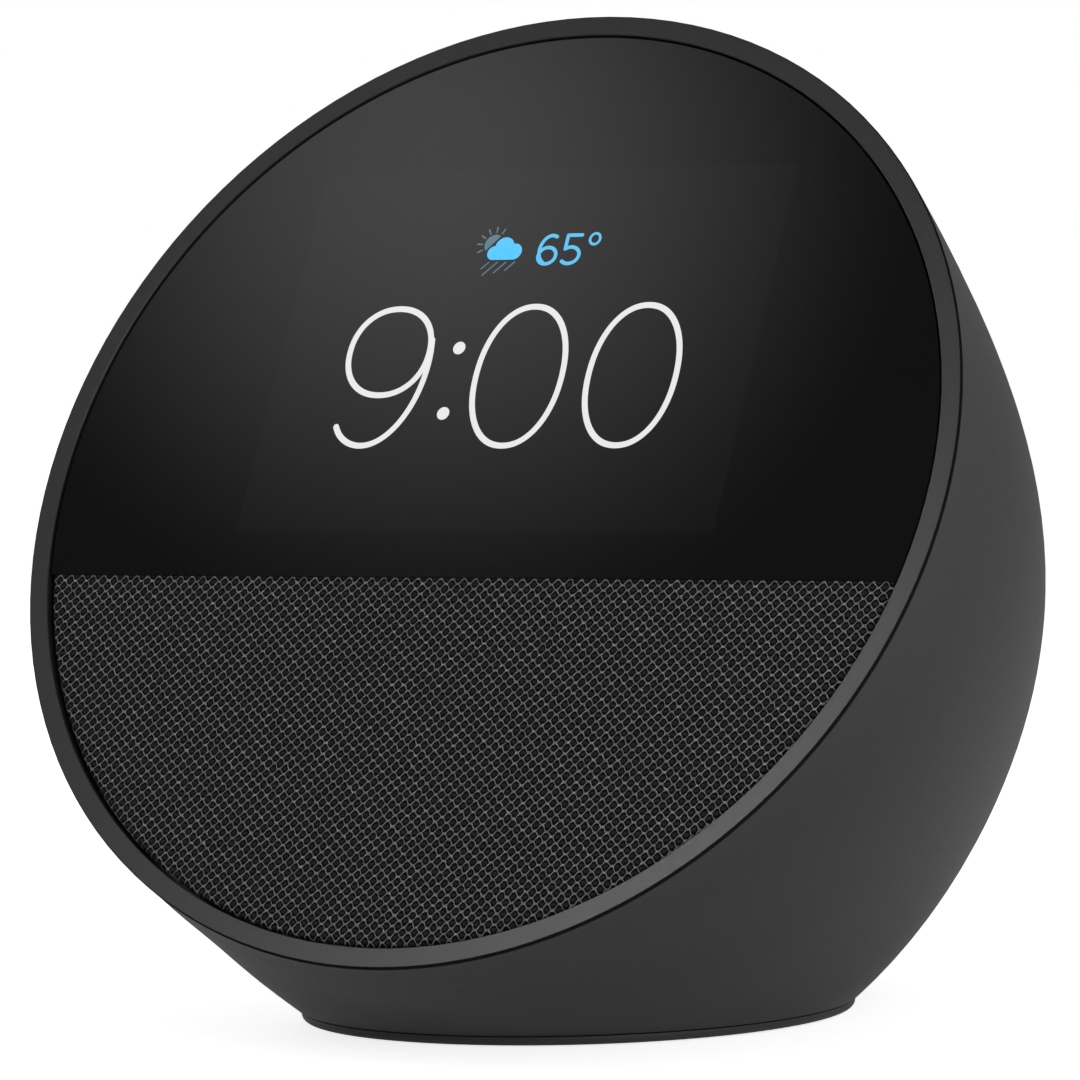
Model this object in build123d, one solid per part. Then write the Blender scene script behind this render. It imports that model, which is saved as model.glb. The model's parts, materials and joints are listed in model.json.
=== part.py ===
from build123d import *
from math import copysign, cos, pi, radians, sin, tan
import os

# Smart speaker with a round tilted face: clock display above, cloth speaker grille below.
# Millimetres, +Z up, front towards -Y. The origin is on the table under the centre of the foot.

# ---- driving dimensions: outer form ----
FACE_TILT = 28.4            # face leans back from the vertical, degrees
FACE_RADIUS = 56.5          # outer radius of the front bezel
FACE_OPENING = 54.2         # inner radius of the front bezel
FACE_CENTRE = (0, -17.6, 59.6)
BASE_RADIUS = 30.65         # body radius where it meets the foot
SEAM_HEIGHT = 1.25          # height of the line between body and foot
FOOT_RADIUS = 28.6
FOOT_THICK = 0.9
BACK_REACH = (118.2, 116.5, 129.9)    # inner control values of the back line, from the hinge line
HALF_WIDTH = (54.1, 57.0, 39.7)       # inner control values of the half width
FRONT_REACH = (9.9, 9.9)    # inner control values of the front line
FRONT_FULLNESS = 5.0        # how much the front flanks fill out near the base
SECTION_POINTS = 24         # points that each section curve runs through
BODY_SECTIONS = 11
WALL = 2.2

# ---- driving dimensions: face stack, measured outwards from the bezel's front plane ----
GLASS_FRONT = -0.25
GLASS_THICK = 1.1
SPLIT_LINE = -11.5          # lower edge of the glass, below the face centre
CARRIER_BACK = -4.35
GRILLE_SEAT = -2.35         # front of the carrier behind the grille
FIT_GAP = 0.3
GLASS_RADIUS = FACE_OPENING - FIT_GAP
LCD_SIZE = (64.0, 50.0)
LCD_CENTRE = 15.6           # above the face centre

# ---- driving dimensions: speaker driver, on its own axis ----
DRIVER_CENTRE = -31.5       # below the face centre
FLANGE_RADIUS = 21.5
FLANGE_FRONT = -4.9
CONE_RADIUS = 15.2
COIL_RADIUS = 6.2
MAGNET_RADIUS = 13.0

# ---- driving dimensions: buttons ----
BUTTON_SPACING = 13.0
BUTTON_RADIUS = 4.4
BUTTON_GAP = 0.15
BUTTON_FLANGE = 5.4
BUTTON_STATION = 0.10       # place along the back line, 0 at the face, 1 at the base
BUTTON_BOARD_DEPTH = 9.0    # board's top face under the skin
SWITCH_HEIGHT = 2.4
PLUNGER_HEIGHT = 1.0
LENS_RADIUS = 0.9

# ---- driving dimensions: power inlet ----
JACK_HEIGHT = 17.0
RECESS_RADIUS = 6.0
RECESS_FLOOR_Y = 42.0
SOCKET_RADIUS = 2.85
SOCKET_PIN_RADIUS = 1.0

BASE = (Align.CENTER, Align.CENTER, Align.MIN)
FACE = Plane(
    origin=FACE_CENTRE,
    x_dir=(1, 0, 0),
    z_dir=(0, -cos(radians(FACE_TILT)), sin(radians(FACE_TILT))),
)
HINGE_RISE = FACE_CENTRE[2] - SEAM_HEIGHT
HINGE_Y = FACE_CENTRE[1] - HINGE_RISE * tan(radians(FACE_TILT))
FACE_DISTANCE = HINGE_RISE / cos(radians(FACE_TILT))
FULL_SWEEP = 90 - FACE_TILT


# ---- body form ----
def bezier(values, u):
    points = list(values)
    while len(points) > 1:
        points = [a + (b - a) * u for a, b in zip(points, points[1:])]
    return points[0]


def back_distance(u):
    return bezier((FACE_DISTANCE + FACE_RADIUS, *BACK_REACH, BASE_RADIUS - HINGE_Y), u)


def front_distance(u):
    return bezier((FACE_DISTANCE - FACE_RADIUS, *FRONT_REACH, -BASE_RADIUS - HINGE_Y), u)


def half_width(u):
    return bezier((FACE_RADIUS, *HALF_WIDTH, BASE_RADIUS), u)


def sweep_direction(u):
    angle = radians(FULL_SWEEP * (1 - u))
    return Vector(0, cos(angle), sin(angle))


def back_point(u):
    """Point of the body's back line, in the middle plane."""
    return Vector(0, HINGE_Y, SEAM_HEIGHT) + sweep_direction(u) * back_distance(u)


def body_section(u, inset):
    """Section on a plane that turns about the hinge line in front of the base: half an ellipse
    at the back and a slightly fuller half at the front."""
    reach = sweep_direction(u)
    back = back_distance(u) - inset
    front = front_distance(u) + inset
    centre = Vector(0, HINGE_Y, SEAM_HEIGHT) + reach * ((back + front) / 2)
    plane = Plane(origin=centre, x_dir=reach, z_dir=Vector(1, 0, 0).cross(reach))
    depth = (back - front) / 2
    width = half_width(u) - inset
    squareness = 2 + FRONT_FULLNESS * u**6 * (1 - u)
    points = []
    for step in range(SECTION_POINTS):
        angle = 2 * pi * step / SECTION_POINTS
        power = 2 / squareness if cos(angle) < 0 else 1
        x = copysign(abs(cos(angle)) ** power, cos(angle)) * depth
        y = copysign(abs(sin(angle)) ** power, sin(angle)) * width
        points.append((x, y))
    return plane * make_face(Spline(*points, periodic=True))


def body_form(inset=0.0):
    """Solid of the body, from the tilted face circle round to the base circle."""
    stations = [i / (BODY_SECTIONS - 1) for i in range(BODY_SECTIONS)]
    return loft([body_section(u, inset) for u in stations])


OUTER = body_form()


def body_band(inner, outer):
    """Layer of the body form between two depths under the skin."""
    form = OUTER if outer == 0 else body_form(outer)
    return form - body_form(inner)


# ---- helpers in face coordinates: x across, y up the face, z outwards ----
def on_face(shape):
    return FACE.location * shape


def disc(radius, back, front, x=0.0, y=0.0):
    return Pos(x, y, back) * Cylinder(radius, front - back, align=BASE)


def tube(outer, inner, back, front, x=0.0, y=0.0):
    return disc(outer, back, front, x, y) - disc(inner, back - 1, front + 1, x, y)


def slab(width, height, back, front, x=0.0, y=0.0):
    return Pos(x, y, back) * Box(width, height, front - back, align=BASE)


def above(line, back, front):
    """Block that covers the face above a line."""
    return slab(200, 100, back, front, y=line + 50)


def below(line, back, front):
    return slab(200, 100, back, front, y=line - 50)


def revolved(points):
    """Ring of revolution about the z axis from (radius, height) points."""
    outline = Polyline(*[(r, 0, h) for r, h in points], close=True)
    return revolve(make_face(outline), Axis.Z, 360)


def screw(head_radius, head_height, shank_radius, shank_length):
    """Pan-head screw, seat of the head at z=0, pointing to -z, with a cross recess."""
    head = disc(head_radius, 0, head_height)
    shank = disc(shank_radius, -shank_length, 0.05)
    arm = head_radius * 1.1
    width = head_radius * 0.22
    depth = head_height * 0.55
    slot = slab(arm, width, head_height - depth, head_height + 1)
    return head + shank - slot - Rot(0, 0, 90) * slot


# ---- places used by more than one piece ----
BOSS_RADIUS = 3.4
BOSS_SPOTS = [
    (49.5 * cos(radians(a)), 49.5 * sin(radians(a))) for a in (35, 145, 215, 325)
]
BASE_BOSS_ANGLES = (90, 210, 330)
BASE_BOSS_CIRCLE = 22.5
BASE_BOSS_FOOT = 3.6
BASE_BOSS_HEIGHT = 3.6
ENCLOSURE_FLOOR = 7.5
FRAME_FOOT_X = 39.5
FRAME_FOOT_Y = (-3, 16)
BOARD_SPOTS = [(x, y) for x in (-27, 27) for y in (-2, 32)]
DISPLAY_SPOTS = [(x, y) for x in (-35.2, 35.2) for y in (3, 28)]
EAR_SPOTS = [
    (24.2 * cos(radians(a)), DRIVER_CENTRE + 24.2 * sin(radians(a))) for a in (20, 160, 200, 340)
]
BUTTON_TANGENT = (back_point(BUTTON_STATION + 0.02) - back_point(BUTTON_STATION - 0.02)).normalized()
BUTTON_AXIS = Vector(1, 0, 0).cross(BUTTON_TANGENT)
BUTTON_PLANE = Plane(origin=back_point(BUTTON_STATION), x_dir=(1, 0, 0), z_dir=BUTTON_AXIS)
POST_X = 20.8
MIC_SPOTS = [(-6.5, 3.4), (6.5, 3.4)]
JACK_POST_X = 11.5
JACK_PLANE = Plane(origin=(0, RECESS_FLOOR_Y, JACK_HEIGHT), x_dir=(1, 0, 0), z_dir=(0, 1, 0))


def on_top(shape):
    """Place a shape built in button coordinates: z along the press axis, 0 at the skin."""
    return BUTTON_PLANE.location * shape


def on_jack(shape):
    """Place a shape built in inlet coordinates: z out of the back, 0 at the recess floor."""
    return JACK_PLANE.location * shape


def button_x(index):
    return (index - 1) * BUTTON_SPACING


# ---- outer shells ----
def rear_housing():
    shell = OUTER - body_form(WALL)
    bosses = None
    for x, y in BOSS_SPOTS:
        angle = 35 if x * y > 0 else -35
        rib = Pos(x * 1.07, y * 1.07, -20) * Rot(0, 0, angle) * Box(9, 1.8, 15.6, align=BASE)
        boss = disc(BOSS_RADIUS, -20, CARRIER_BACK - 0.05, x, y) + rib
        bosses = boss if bosses is None else bosses + boss
    bosses = on_face(bosses)
    for angle in BASE_BOSS_ANGLES:
        turn = Rot(0, 0, angle)
        seat = turn * Pos(BASE_BOSS_CIRCLE, 0, BASE_BOSS_FOOT)
        bosses += seat * Cylinder(3.0, BASE_BOSS_HEIGHT, align=BASE)
        bosses += seat * Pos(7.5, 0, 0) * Box(13, 1.8, BASE_BOSS_HEIGHT, align=BASE)
    for x in (-POST_X, POST_X):
        bosses += on_top(disc(1.9, -BUTTON_BOARD_DEPTH, 4, x))
    for x in (-JACK_POST_X, JACK_POST_X):
        bosses += on_jack(disc(2.4, -13, 12, x))
    bosses += on_jack(disc(RECESS_RADIUS + 1.6, -1.6, 30))
    shell += bosses & OUTER
    shell -= on_face(disc(70, -0.55, 30))
    shell -= on_face(disc(FACE_OPENING + 0.8, -7.0, 30))
    for x, y in BOSS_SPOTS:
        shell -= on_face(disc(1.15, -17, 0, x, y))
    for angle in BASE_BOSS_ANGLES:
        shell -= Rot(0, 0, angle) * Pos(BASE_BOSS_CIRCLE, 0, 0) * Cylinder(1.15, BASE_BOSS_FOOT + BASE_BOSS_HEIGHT, align=BASE)
    for index in range(3):
        shell -= on_top(disc(BUTTON_RADIUS + BUTTON_GAP, -6, 10, button_x(index)))
    for x, y in MIC_SPOTS:
        shell -= on_top(disc(0.5, -7, 10, x, y))
    for x in (-POST_X, POST_X):
        shell -= on_top(disc(0.85, -BUTTON_BOARD_DEPTH - 1, -4.5, x))
    for x in (-JACK_POST_X, JACK_POST_X):
        shell -= on_jack(disc(1.15, -14, -5, x))
    shell -= on_jack(disc(RECESS_RADIUS, 0, 40))
    shell -= on_jack(disc(4.3, -3, 1))
    return shell


def front_bezel():
    ring = tube(FACE_RADIUS - 0.05, FACE_OPENING, -0.35, 0)
    ring += tube(FACE_OPENING + 0.7, FACE_OPENING, -6.9, -0.3)
    ring += tube(FACE_OPENING + 0.7, FACE_OPENING - 0.8, -6.9, CARRIER_BACK - 0.05)
    edges = ring.edges().filter_by(GeomType.CIRCLE).group_by(Axis.Z)[-1]
    return on_face(chamfer(edges, 0.08))


def base_plate():
    plate = Pos(0, 0, 0.15) * Cylinder(BASE_RADIUS - 0.2, 0.95, align=BASE)
    rim = plate.edges().filter_by(GeomType.CIRCLE).sort_by(Axis.Z)[0]
    plate = fillet(rim, 0.7)
    plate += Pos(0, 0, 1.0) * Cylinder(BASE_RADIUS - WALL - 0.35, 2.5, align=BASE)
    plate -= Pos(0, 0, -1) * Cylinder(FOOT_RADIUS + 0.1, FOOT_THICK + 1.05, align=BASE)
    for angle in BASE_BOSS_ANGLES:
        spot = Rot(0, 0, angle) * Pos(BASE_BOSS_CIRCLE, 0, 0)
        plate -= spot * Cylinder(1.4, 10, align=BASE)
        plate -= spot * Cylinder(2.3, 2.2, align=BASE)
    return plate


def rubber_foot():
    """Pad glued over the base screws."""
    pad = Cylinder(FOOT_RADIUS, FOOT_THICK, align=BASE)
    return chamfer(pad.edges().filter_by(GeomType.CIRCLE).sort_by(Axis.Z)[0], 0.1)


# ---- face ----
def cover_glass():
    glass = disc(GLASS_RADIUS, GLASS_FRONT - GLASS_THICK, GLASS_FRONT) & above(SPLIT_LINE, -3, 3)
    return on_face(glass)


def touch_sensor():
    back = GLASS_FRONT - GLASS_THICK
    return on_face(slab(66, 51, back - 0.25, back, y=LCD_CENTRE))


def lcd_panel():
    return on_face(slab(*LCD_SIZE, -3.0, -1.6, y=LCD_CENTRE))


def lcd_backlight():
    return on_face(slab(*LCD_SIZE, -5.2, -3.0, y=LCD_CENTRE))


def display_tray():
    width, height = LCD_SIZE
    tray = slab(width + 1.4, height + 1.2, -5.6, -2.4, y=LCD_CENTRE)
    tray -= slab(width + 0.4, height + 0.2, -5.2, 0, y=LCD_CENTRE)
    for x, y in DISPLAY_SPOTS:
        inward = x - 1.2 if x > 0 else x + 1.2
        tray += slab(6.0, 6, -5.0, CARRIER_BACK - 0.05, inward, y)
        tray -= disc(0.95, -7, 0, x, y)
    tray -= slab(width + 0.4, height + 0.2, -5.2, 0, y=LCD_CENTRE)
    return on_face(tray)


def display_flex():
    """Flat cable from the display's back, through the board frame, to the main board."""
    flex = slab(20, 10, -5.85, -5.65, y=29)
    flex += slab(20, 0.2, -13.3, -5.65, y=23.9)
    flex += slab(20, 5, -13.3, -13.1, y=26.3)
    return on_face(flex)


def face_carrier():
    width, height = LCD_SIZE
    carrier = disc(GLASS_RADIUS, CARRIER_BACK, GLASS_FRONT - GLASS_THICK)
    carrier -= below(SPLIT_LINE - 0.15, GRILLE_SEAT, 5)
    carrier -= slab(width + 2.0, height + 1.8, -10, 0, y=LCD_CENTRE)
    carrier -= disc(19.6, -10, 0, y=DRIVER_CENTRE) & below(SPLIT_LINE - 0.6, -10, 0)
    for x, y in BOSS_SPOTS:
        carrier -= disc(1.4, -10, 0, x, y)
        carrier -= disc(2.3, -3.45, 0, x, y)
    for x, y in DISPLAY_SPOTS:
        carrier -= disc(0.75, -10, -2.3, x, y)
    for x, y in EAR_SPOTS:
        carrier -= disc(0.85, -10, 0, x, y)
    return on_face(carrier)


def grille_frame():
    """Perforated plastic plate that backs the cloth, with staggered rows of round holes."""
    plate = disc(GLASS_RADIUS, -2.3, -0.95) & below(SPLIT_LINE - 0.25, -5, 5)
    pitch = 3.6
    row_step = pitch * sin(radians(60))
    holes = []
    for row in range(-6, 7):
        for column in range(-6, 7):
            x = (column + 0.5 * (row % 2)) * pitch
            y = row * row_step
            if x * x + y * y < 17.6 ** 2:
                holes.append(disc(1.25, -5, 5, x, y + DRIVER_CENTRE))
    return on_face(plate - Compound(holes))


def grille_fabric():
    cloth = disc(GLASS_RADIUS, -0.9, -0.35) & below(SPLIT_LINE - 0.2, -5, 5)
    return on_face(cloth)


# ---- speaker driver ----
def on_driver(shape):
    return on_face(Pos(0, DRIVER_CENTRE, 0) * shape)


def speaker_gasket():
    ring = tube(FLANGE_RADIUS - 0.2, 19.7, FLANGE_FRONT, CARRIER_BACK - 0.05)
    return on_driver(ring & below(20.9, -20, 20))


def speaker_basket():
    back = FLANGE_FRONT - 1.2
    basket = tube(FLANGE_RADIUS, 18.7, back, FLANGE_FRONT) & below(21.1, -20, 20)
    for x, y in EAR_SPOTS:
        ear = disc(2.4, back, FLANGE_FRONT, x, y - DRIVER_CENTRE)
        ear += slab(6, 4.2, back, FLANGE_FRONT, x * 0.88, y - DRIVER_CENTRE)
        basket += ear - disc(19.5, -20, 0)
    frame = revolved([(18.7, back + 0.3), (19.8, back + 0.3), (19.8, back - 0.8), (16.2, -12.4),
                      (16.2, -14.0), (9.0, -14.0), (9.0, -13.2), (12.6, -13.2), (12.6, -12.45),
                      (15.0, -12.45), (18.2, back - 1.0)])
    for angle in range(45, 405, 90):
        frame -= Rot(0, 0, angle) * Pos(17.6, 0, -10.2) * Box(8, 13, 4.2)
    basket += frame
    for x, y in EAR_SPOTS:
        basket -= disc(1.1, -20, 0, x, y - DRIVER_CENTRE)
    return on_driver(basket)


def cone_surround():
    """Half-roll rubber ring between the cone and the basket."""
    middle = (CONE_RADIUS + 18.6) / 2
    span = (18.6 - CONE_RADIUS) / 2
    roll = make_face([
        Line((CONE_RADIUS, 0, -5.6), (CONE_RADIUS + 0.4, 0, -5.6)),
        ThreePointArc((CONE_RADIUS + 0.4, 0, -5.6), (middle, 0, -5.6 + span - 0.4), (18.2, 0, -5.6)),
        Line((18.2, 0, -5.6), (18.6, 0, -5.6)),
        ThreePointArc((18.6, 0, -5.6), (middle, 0, -5.6 + span), (CONE_RADIUS, 0, -5.6)),
    ])
    return on_driver(revolve(roll, Axis.Z, 360))


def speaker_cone():
    inner = COIL_RADIUS + 0.75
    return on_driver(revolved([(CONE_RADIUS, -5.62), (CONE_RADIUS, -6.1), (inner, -11.6),
                               (inner, -11.1), (CONE_RADIUS - 0.7, -5.62)]))


def dust_cap():
    """Thin dome over the voice coil."""
    rim = COIL_RADIUS + 1.4
    rise = 2.4
    base = -10.3
    radius = (rim * rim + rise * rise) / (2 * rise)
    dome = Pos(0, 0, base + rise - radius) * (Sphere(radius) - Sphere(radius - 0.35))
    return on_driver(dome & disc(rim + 1, base, base + 10))


def voice_coil():
    former = tube(COIL_RADIUS + 0.25, COIL_RADIUS, -18.5, -11.0)
    winding = tube(COIL_RADIUS + 0.65, COIL_RADIUS + 0.2, -18.0, -14.6)
    collar = tube(COIL_RADIUS + 0.72, COIL_RADIUS, -12.0, -11.0)
    return on_driver(former + winding + collar)


def spider():
    """Corrugated disc that centres the coil."""
    inner = COIL_RADIUS + 0.75
    outer = 14.3
    steps = 6
    width = (outer - inner) / steps
    top = [(inner + i * width, -12.1 + (0.25 if i % 2 else 0)) for i in range(steps + 1)]
    bottom = [(r, h - 0.3) for r, h in reversed(top)]
    return on_driver(revolved(top + bottom))


def speaker_top_plate():
    return on_driver(tube(MAGNET_RADIUS - 0.4, COIL_RADIUS + 1.0, -16.5, -14.0))


def speaker_magnet():
    return on_driver(tube(MAGNET_RADIUS, 9.0, -21.5, -16.5))


def speaker_yoke():
    pole = disc(COIL_RADIUS - 0.3, -21.5, -14.0)
    plate = disc(MAGNET_RADIUS - 0.4, -23.7, -21.5)
    return on_driver(pole + plate - disc(1.5, -30, 0))


def enclosure_seal():
    ring = tube(FLANGE_RADIUS - 0.1, 20.0, -6.35, FLANGE_FRONT - 1.2)
    return on_driver(ring & below(20.9, -20, 20))


def enclosure_block(inset, back, front, top, floor, half):
    """Chamber inside the body form, under the display and above the base."""
    block = body_form(inset) & on_face(slab(2 * half, 120, back, front, y=top - 60))
    return block & Pos(0, 0, floor) * Box(200, 200, 100, align=BASE)


def speaker_enclosure():
    """Sealed back chamber: its front wall fits round the driver."""
    shell = enclosure_block(WALL + 1.2, -40.0, -6.4, -10.8, ENCLOSURE_FLOOR, 33.5)
    shell &= on_face(disc(52.6, -60, 0))
    room = enclosure_block(WALL + 3.0, -38.2, -8.2, -12.6, ENCLOSURE_FLOOR + 1.6, 31.7)
    room &= on_face(disc(50.8, -60, 0))
    shell -= room
    shell -= on_driver(disc(20.2, -9, 0))
    for x, y in EAR_SPOTS:
        shell -= on_face(disc(2.2, -7.3, 0, x, y))
    return shell - on_face(slab(3.2, 6, -32.0, -29.0, x=20, y=-11))


# ---- electronics ----
def board_frame():
    frame = slab(66, 47, -9.5, -8.0, y=15)
    frame -= slab(22, 20, -20, 0, y=29) + slab(46, 14, -20, 0, y=5)
    for x, y in BOARD_SPOTS:
        frame += tube(2.6, 0.85, -13.95, -9.0, x, y)
        frame -= disc(0.85, -20, 0, x, y)
    for x in (-FRAME_FOOT_X, FRAME_FOOT_X):
        for y in FRAME_FOOT_Y:
            frame += slab(9, 7, -9.5, -8.0, x * 0.94, y)
            frame += slab(3.5, 7, -9.5, CARRIER_BACK - 0.1, x, y)
    return on_face(frame)


def main_board():
    board = slab(61, 42, -15.6, -14.0, y=15)
    for x, y in BOARD_SPOTS:
        board -= disc(1.15, -20, 0, x, y)
    return on_face(board)


def can(width, height, x, y):
    """Folded sheet cover over one part of the main board."""
    cover = slab(width, height, -17.8, -15.65, x, y)
    return cover - slab(width - 0.5, height - 0.5, -17.55, -15, x, y)


def soc_shield():
    return on_face(can(24, 22, -9, 14))


def radio_shield():
    return on_face(can(14, 18, 15, 22))


def thermal_pad():
    return on_face(slab(18, 16, -18.8, -17.8, -9, 14))


def heat_spreader():
    plate = slab(52, 32, -20.3, -18.8, y=15)
    for x in (-22, 22):
        plate -= slab(3, 22, -25, 0, x, 15)
    for x in (-14, -7, 0, 7, 14):
        plate += slab(1.2, 30, -24.3, -20.0, x, 15)
    for x, y in ((-24.2, 0.8), (24.2, 29.2)):
        plate += disc(1.6, -18.9, -15.65, x, y)
    return on_face(plate)


def board_connectors():
    display = slab(22, 4, -13.95, -12.0, y=30.8)
    speaker = slab(6, 4, -18.6, -15.65, 22, -3.2)
    power = slab(8, 4, -18.6, -15.65, 5, -3.2)
    keys = slab(8, 3.5, -18, -15.65, 0, 33.5)
    return on_face(Compound([display, speaker, power, keys]))


def wall_patch(side):
    """Flexible aerial bonded to the inside of the housing wall."""
    band = body_band(WALL + 0.45, WALL + 0.05)
    region = on_face(slab(30, 24, -34, -14, side * 50, 4))
    return band & region


def wire(radius, points, bend):
    """Round wire along straight runs joined by arcs, in face coordinates."""
    path = FilletPolyline(*points, radius=bend)
    start = Plane(origin=path @ 0, z_dir=path % 0)
    return sweep(start * Circle(radius), path=path)


def antenna_cables():
    cables = []
    for side in (-1, 1):
        route = [(side * 26.4, 22, -16.4), (side * 34, 22, -16.4), (side * 43, 15, -22),
                 (side * 49.0, 8, -24)]
        cables.append(wire(0.55, route, 3))
    return on_face(Compound(cables))


def speaker_leads():
    leads = []
    for x in (19.3, 20.7):
        route = [(x, -15, -30.5), (x, -7.5, -30.5), (x + 1.5, -4.5, -24), (x + 1.5, -3.4, -18.65)]
        leads.append(wire(0.5, route, 2))
    return on_face(Compound(leads))


def power_leads():
    """Two wires from the inlet board up to the main board."""
    leads = []
    for x in (-1.2, 1.2):
        start = FACE.to_local_coords(Vector(x, RECESS_FLOOR_Y - 15.4, JACK_HEIGHT + 6))
        route = [(x, start.Y, start.Z), (x, start.Y + 2.4, start.Z + 5), (x, -4, -46),
                 (5 + x, -4.2, -30), (5 + x, -3.4, -18.65)]
        leads.append(wire(0.7, route, 3.5))
    return on_face(Compound(leads))


# ---- buttons ----
def press_button(index):
    """Cap that follows the skin, with a flange under the wall and a stem to its switch."""
    x = button_x(index)
    bottom = -BUTTON_BOARD_DEPTH + SWITCH_HEIGHT + PLUNGER_HEIGHT
    cap = OUTER & on_top(disc(BUTTON_RADIUS, bottom + 0.7, 10, x))
    cap = cap - body_form(2.4)
    flange = (body_form(2.4) - body_form(3.1)) & on_top(disc(BUTTON_FLANGE, -8, 10, x))
    core = body_form(1.2) & on_top(disc(1.5, bottom, 10, x))
    return cap + flange + core


def lens_bore():
    return on_top(disc(LENS_RADIUS, -1.0, 10))


def mute_button_lens():
    """Clear dot in the middle button, over its warning light."""
    return OUTER & lens_bore()


def plunger(index):
    bottom = -BUTTON_BOARD_DEPTH + SWITCH_HEIGHT
    return on_top(disc(1.2, bottom - 0.9, bottom + PLUNGER_HEIGHT, button_x(index)))


def tact_switches():
    bodies = []
    for index in range(3):
        body = slab(4.5, 4.5, -BUTTON_BOARD_DEPTH, -BUTTON_BOARD_DEPTH + SWITCH_HEIGHT, button_x(index))
        body -= disc(1.25, -BUTTON_BOARD_DEPTH + 0.8, 0, button_x(index))
        bodies.append(body)
    return on_top(Compound(bodies))


def button_board():
    board = slab(45.6, 9.6, -BUTTON_BOARD_DEPTH - 1.2, -BUTTON_BOARD_DEPTH - 0.02)
    for x in (-POST_X, POST_X):
        board -= disc(1.0, -20, 0, x)
    return on_top(board)


def microphones():
    cans = [slab(3, 2.4, -BUTTON_BOARD_DEPTH, -BUTTON_BOARD_DEPTH + 1.1, x, y) for x, y in MIC_SPOTS]
    return on_top(Compound(cans))


def mic_gaskets():
    """Rubber tubes from each microphone up to its sound hole."""
    tubes = []
    for x, y in MIC_SPOTS:
        tubes.append(on_top(tube(1.1, 0.5, -BUTTON_BOARD_DEPTH + 1.15, 2, x, y)) & body_form(WALL + 0.1))
    return Compound([solid for item in tubes for solid in item.solids()])


# ---- power inlet ----
def dc_jack():
    body = slab(9, 11, -13.0, -1.65)
    body += disc(4.1, -2, -0.3)
    body -= disc(SOCKET_RADIUS, -10.5, 5)
    return on_jack(body - disc(SOCKET_PIN_RADIUS - 0.25, -20, 0))


def jack_pin():
    pin = disc(SOCKET_PIN_RADIUS, -10.5, -1.2) + disc(SOCKET_PIN_RADIUS - 0.3, -14.6, -10)
    return on_jack(pin)


def jack_board():
    board = slab(29, 15, -14.4, -13.05)
    board -= disc(0.8, -20, 0)
    for x in (-JACK_POST_X, JACK_POST_X):
        board -= disc(1.25, -20, 0, x)
    return on_jack(board)


# ---- fasteners, one node per kind ----
def face_screws():
    kind = screw(2.1, 1.0, 1.1, 9)
    return on_face(Compound([Pos(x, y, -3.45) * kind for x, y in BOSS_SPOTS]))


def display_screws():
    kind = Rot(180, 0, 0) * screw(1.4, 0.5, 0.7, 2.4)
    return on_face(Compound([Pos(x, y, -5.02) * kind for x, y in DISPLAY_SPOTS]))


def speaker_screws():
    kind = Rot(180, 0, 0) * screw(1.7, 0.8, 0.8, 3.4)
    return on_face(Compound([Pos(x, y, FLANGE_FRONT - 1.22) * kind for x, y in EAR_SPOTS]))


def board_screws():
    kind = Rot(180, 0, 0) * screw(1.9, 1.0, 0.8, 5)
    return on_face(Compound([Pos(x, y, -15.62) * kind for x, y in BOARD_SPOTS]))


def button_board_screws():
    kind = Rot(180, 0, 0) * screw(1.6, 0.8, 0.8, 4.5)
    seat = -BUTTON_BOARD_DEPTH - 1.22
    return on_top(Compound([Pos(x, 0, seat) * kind for x in (-POST_X, POST_X)]))


def jack_board_screws():
    kind = Rot(180, 0, 0) * screw(2.0, 1.0, 1.1, 7)
    return on_jack(Compound([Pos(x, 0, -14.42) * kind for x in (-JACK_POST_X, JACK_POST_X)]))


def base_screws():
    kind = Rot(180, 0, 0) * screw(2.1, 1.1, 1.1, 4.5)
    spots = [Rot(0, 0, a) * Pos(BASE_BOSS_CIRCLE, 0, 2.18) for a in BASE_BOSS_ANGLES]
    return Compound([spot * kind for spot in spots])


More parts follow.
